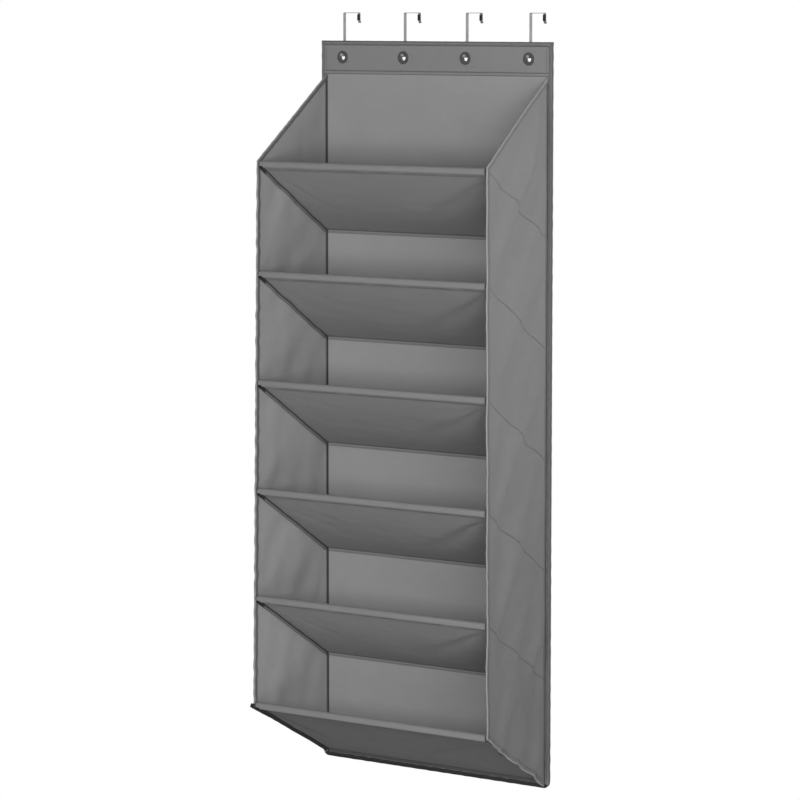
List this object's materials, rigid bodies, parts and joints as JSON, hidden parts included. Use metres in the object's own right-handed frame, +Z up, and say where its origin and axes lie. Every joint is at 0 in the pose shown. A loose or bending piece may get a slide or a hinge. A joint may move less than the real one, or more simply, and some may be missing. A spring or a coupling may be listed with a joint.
{
  "type": "over-the-door shoe organizer",
  "caption": "Hanging cloth organizer with sloping rod-fronted shelves between side panels, hung over a door by flat strip hooks through a stiff header.",
  "frame": {"origin": "middle of the door's front top edge, where the hooks' top plates rest on z = 0 and their shanks lie against y = 0", "axes": "+Z up, +X to the right seen from the front; the front faces -Y and the door is at +Y"},
  "size_m": [0.56, 0.2866, 1.5285],
  "materials": {
    "grey_cloth": "matt woven mid-grey polyester cloth",
    "binding_tape": "grey grosgrain binding tape, a shade darker than the cloth",
    "board": "plain stiff plastic board, hidden in the header",
    "grommet_metal": "darkened nickel",
    "hook_steel": "satin zinc-plated strip steel",
    "rod_steel": "black powder coat",
    "black_foam": "matt closed-cell foam"
  },
  "bodies": {
    "organizer": {"back_panel": "grey_cloth", "left_side_panel": "grey_cloth", "right_side_panel": "grey_cloth", "header_panel": "grey_cloth", "back_binding_top": "binding_tape", "back_binding_left": "binding_tape", "back_binding_bottom": "binding_tape", "back_binding_right": "binding_tape", "left_top_binding": "binding_tape", "left_front_binding": "binding_tape", "left_bottom_binding": "binding_tape", "right_top_binding": "binding_tape", "right_front_binding": "binding_tape", "right_bottom_binding": "binding_tape", "header_board": "board", "grommet_front_1": "grommet_metal", "grommet_washer_1": "grommet_metal", "grommet_front_2": "grommet_metal", "grommet_washer_2": "grommet_metal", "grommet_front_3": "grommet_metal", "grommet_washer_3": "grommet_metal", "grommet_front_4": "grommet_metal", "grommet_washer_4": "grommet_metal"},
    "shelf_1": {"shelf_panel_1": "grey_cloth", "shelf_rod_1": "rod_steel", "shelf_seam_tape_1": "binding_tape"},
    "shelf_2": {"shelf_panel_2": "grey_cloth", "shelf_rod_2": "rod_steel", "shelf_seam_tape_2": "binding_tape"},
    "shelf_3": {"shelf_panel_3": "grey_cloth", "shelf_rod_3": "rod_steel", "shelf_seam_tape_3": "binding_tape"},
    "shelf_4": {"shelf_panel_4": "grey_cloth", "shelf_rod_4": "rod_steel", "shelf_seam_tape_4": "binding_tape"},
    "shelf_5": {"shelf_panel_5": "grey_cloth", "shelf_rod_5": "rod_steel", "shelf_seam_tape_5": "binding_tape"},
    "shelf_6": {"shelf_panel_6": "grey_cloth", "shelf_rod_6": "rod_steel", "shelf_seam_tape_6": "binding_tape"},
    "hook_1": {"door_hook_1": "hook_steel", "hook_pad_1": "black_foam"},
    "hook_2": {"door_hook_2": "hook_steel", "hook_pad_2": "black_foam"},
    "hook_3": {"door_hook_3": "hook_steel", "hook_pad_3": "black_foam"},
    "hook_4": {"door_hook_4": "hook_steel", "hook_pad_4": "black_foam"}
  },
  "joints": [
    {"name": "shelf_fold_1", "type": "hinge", "parent": "organizer", "child": "shelf_1", "pos_m": [0, -0.007, -0.437], "axis": [-1, 0, 0], "range_deg": [0, 50]},
    {"name": "shelf_fold_2", "type": "hinge", "parent": "organizer", "child": "shelf_2", "pos_m": [0, -0.007, -0.655], "axis": [-1, 0, 0], "range_deg": [0, 50]},
    {"name": "shelf_fold_3", "type": "hinge", "parent": "organizer", "child": "shelf_3", "pos_m": [0, -0.007, -0.873], "axis": [-1, 0, 0], "range_deg": [0, 50]},
    {"name": "shelf_fold_4", "type": "hinge", "parent": "organizer", "child": "shelf_4", "pos_m": [0, -0.007, -1.091], "axis": [-1, 0, 0], "range_deg": [0, 50]},
    {"name": "shelf_fold_5", "type": "hinge", "parent": "organizer", "child": "shelf_5", "pos_m": [0, -0.007, -1.309], "axis": [-1, 0, 0], "range_deg": [0, 50]},
    {"name": "shelf_fold_6", "type": "hinge", "parent": "organizer", "child": "shelf_6", "pos_m": [0, -0.007, -1.51], "axis": [-1, 0, 0], "range_deg": [0, 50]},
    {"name": "hook_swivel_1", "type": "hinge", "parent": "organizer", "child": "hook_1", "pos_m": [-0.225, -0.005, -0.088], "axis": [0, 1, 0], "range_deg": [-45, 45]},
    {"name": "hook_swivel_2", "type": "hinge", "parent": "organizer", "child": "hook_2", "pos_m": [-0.075, -0.005, -0.088], "axis": [0, 1, 0], "range_deg": [-45, 45]},
    {"name": "hook_swivel_3", "type": "hinge", "parent": "organizer", "child": "hook_3", "pos_m": [0.075, -0.005, -0.088], "axis": [0, 1, 0], "range_deg": [-45, 45]},
    {"name": "hook_swivel_4", "type": "hinge", "parent": "organizer", "child": "hook_4", "pos_m": [0.225, -0.005, -0.088], "axis": [0, 1, 0], "range_deg": [-45, 45]}
  ],
  "couplings": [
    {"joint": "shelf_fold_2", "follows": "shelf_fold_1", "ratio": 1},
    {"joint": "shelf_fold_3", "follows": "shelf_fold_1", "ratio": 1},
    {"joint": "shelf_fold_4", "follows": "shelf_fold_1", "ratio": 1},
    {"joint": "shelf_fold_5", "follows": "shelf_fold_1", "ratio": 1},
    {"joint": "shelf_fold_6", "follows": "shelf_fold_1", "ratio": 1}
  ]
}
